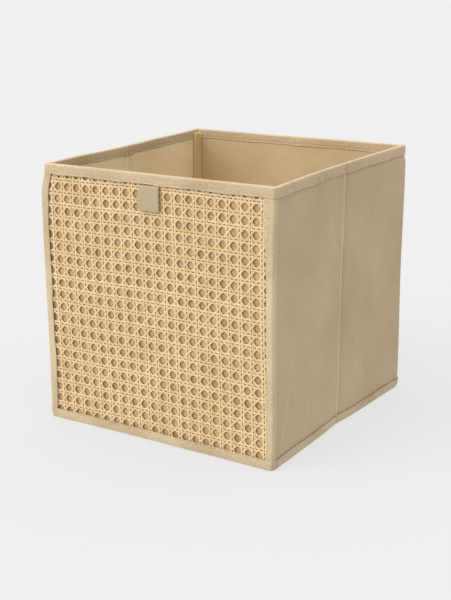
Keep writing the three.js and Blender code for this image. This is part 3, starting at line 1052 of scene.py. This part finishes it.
pull_low, pull_high = ([v * 1000 for v in c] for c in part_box("pull_ribbon"))
pull_bottom, pull_top = pull_low[2], pull_high[2]
fold = [(-156.7 + 0.75 * (1 - math.cos(a)), pull_bottom + 0.9 - 0.9 * math.sin(a))
        for a in np.radians(np.linspace(0, 180, 9))]
front_leg = [(-156.3, pull_top - 0.2), (-156.5, pull_top - 2), (-156.8, pull_top - 8),
             (-156.9, pull_top - 15), (-156.8, pull_top - 22)]
rear_leg = [(-155.25, pull_top - 22), (-155.15, pull_top - 12), (-155.2, pull_top - 0.2)]
ribbon_line = np.array(front_leg + fold + rear_leg)[::-1]
pull_rows = [[(x - SKEW * y, y, z) for y, z in ribbon_line]
             for x in np.linspace(pull_low[0], pull_high[0], 14)]
pull = sheet_of_cloth("ribbon_pull", pull_rows, 0.5, ribbon_cloth)
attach(pull, "pull")
declare(["pull_ribbon"])

# ------------------------------------------------------------
# Stitching. Lockstitch in beige polyester thread, 3.2 mm to a stitch, along every tape and down
# both sides of each crease.
# ------------------------------------------------------------
# Spun polyester thread: matt, in the colour of the tape.
thread, tree = new_material("beige polyester thread")
thread_place = add_node(tree, "ShaderNodeTexCoord").outputs["Object"]
surface(tree, {
    "Base Color": two_tones(tree, noise(tree, thread_place, 300.0), "#c2a982", "#d6c19c"),
    "Roughness": 0.7,
})

# Stitches set end to end along the edges of a mesh of seam lines. Lengths are in metres.
seams, given = new_tree("stitches along a seam", {
    "Stitch": "NodeSocketFloat", "Gap": "NodeSocketFloat", "Thread": "NodeSocketFloat",
    "Material": "NodeSocketMaterial",
})
seam_lines = add_node(seams, "GeometryNodeMeshToCurve", {
    "Mesh": given["Geometry"],
}).outputs["Curve"]
holes = add_node(seams, "GeometryNodeCurveToPoints", {
    "Curve": seam_lines, "Length": math_node(seams, "ADD", given["Stitch"], given["Gap"]),
}, mode="LENGTH").outputs
bead = add_node(seams, "GeometryNodeMeshUVSphere", {
    "Segments": 6, "Rings": 4, "Radius": 0.5,
}).outputs["Mesh"]
turned_to = add_node(seams, "FunctionNodeAlignRotationToVector", {
    "Vector": holes["Tangent"],
}, axis="Z").outputs["Rotation"]
stitch_size = add_node(seams, "ShaderNodeCombineXYZ", {
    "X": given["Thread"], "Y": given["Thread"], "Z": given["Stitch"],
}).outputs["Vector"]
sewn = add_node(seams, "GeometryNodeInstanceOnPoints", {
    "Points": holes["Points"], "Instance": bead, "Rotation": turned_to, "Scale": stitch_size,
}).outputs["Instances"]
sewn = add_node(seams, "GeometryNodeRealizeInstances", {"Geometry": sewn}).outputs["Geometry"]
sewn = add_node(seams, "GeometryNodeSetMaterial", {
    "Geometry": sewn, "Material": given["Material"],
}).outputs["Geometry"]
add_node(seams, "NodeGroupOutput", {"Geometry": sewn})


# Stitches lie a little below the face of the tape, in the dent that they pull into it.
SEAM_OUT = 0.33
SEAM_TO_CREASE = 3.9
rim_seam = RIM_LOW + 2.4
hem_seam = 9.8


def level_seam(start, end, z, steps=50):
    """A seam line at one height, straight from one place of the plan to another."""
    return [(x, y, z) for x, y in straight(start, end, steps)]


def upright_seam(x, y):
    """A seam line that runs up a wall."""
    return [(x, y, z) for z in np.linspace(13, 295, 60)]


def side_seams(first_y, last_y, beside):
    """The seams of a half panel on the right: two along the rim tape, and two up its crease."""
    return [
        level_seam((side_x - SEAM_OUT, first_y), (side_x - SEAM_OUT, last_y), rim_seam, 40),
        level_seam((side_in_x + SEAM_OUT, first_y), (side_in_x + SEAM_OUT, last_y), rim_seam, 40),
        upright_seam(152.2, beside), upright_seam(150.6, beside),
    ]


def other_side(lines):
    """The same seam lines on the left side of the bin."""
    return [[(-x, y, z) for x, y, z in line] for line in lines]


face_y = rear_y - SEAM_OUT
rear_face_y = rear_in_y + SEAM_OUT
front_face_y = front_in_y - SEAM_OUT
right_rear_seams = side_seams(3, 138, CREASE_Y + SEAM_TO_CREASE)
right_front_seams = side_seams(-5, -138, CREASE_Y - SEAM_TO_CREASE)
seam_sets = {
    "rear": [
        level_seam((140, face_y), (-140, face_y), rim_seam),
        level_seam((138, rear_face_y), (-138, rear_face_y), rim_seam),
        level_seam((144, face_y), (-144, face_y), hem_seam),
    ],
    "right_rear": right_rear_seams,
    "right_front": right_front_seams,
    "left_rear": other_side(right_rear_seams),
    "left_front": other_side(right_front_seams),
    "front": [
        level_seam((-148, -face_y), (148, -face_y), rim_seam),
        level_seam((-142, front_face_y), (142, front_face_y), rim_seam),
        upright_seam(145.6, edge_y), upright_seam(-145.6, edge_y),
    ],
}
for panel, lines in seam_sets.items():
    points, edges = [], []
    for line in lines:
        edges += [(len(points) + k, len(points) + k + 1) for k in range(len(line) - 1)]
        points += (settle(line) / 1000).tolist()
    seam_mesh = bpy.data.meshes.new(f"{panel}_seams")
    seam_mesh.from_pydata(points, edges, [])
    stitches = grow(f"{panel}_stitches", seams, {
        "Stitch": 0.0026, "Gap": 0.0006, "Thread": 0.0004, "Material": thread,
    }, seam_mesh)
    stitches.data.shade_smooth()
    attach(stitches, BODIES[panel])

# ------------------------------------------------------------
# Last update of the scene's view layer.
# ------------------------------------------------------------
bpy.context.view_layer.update()
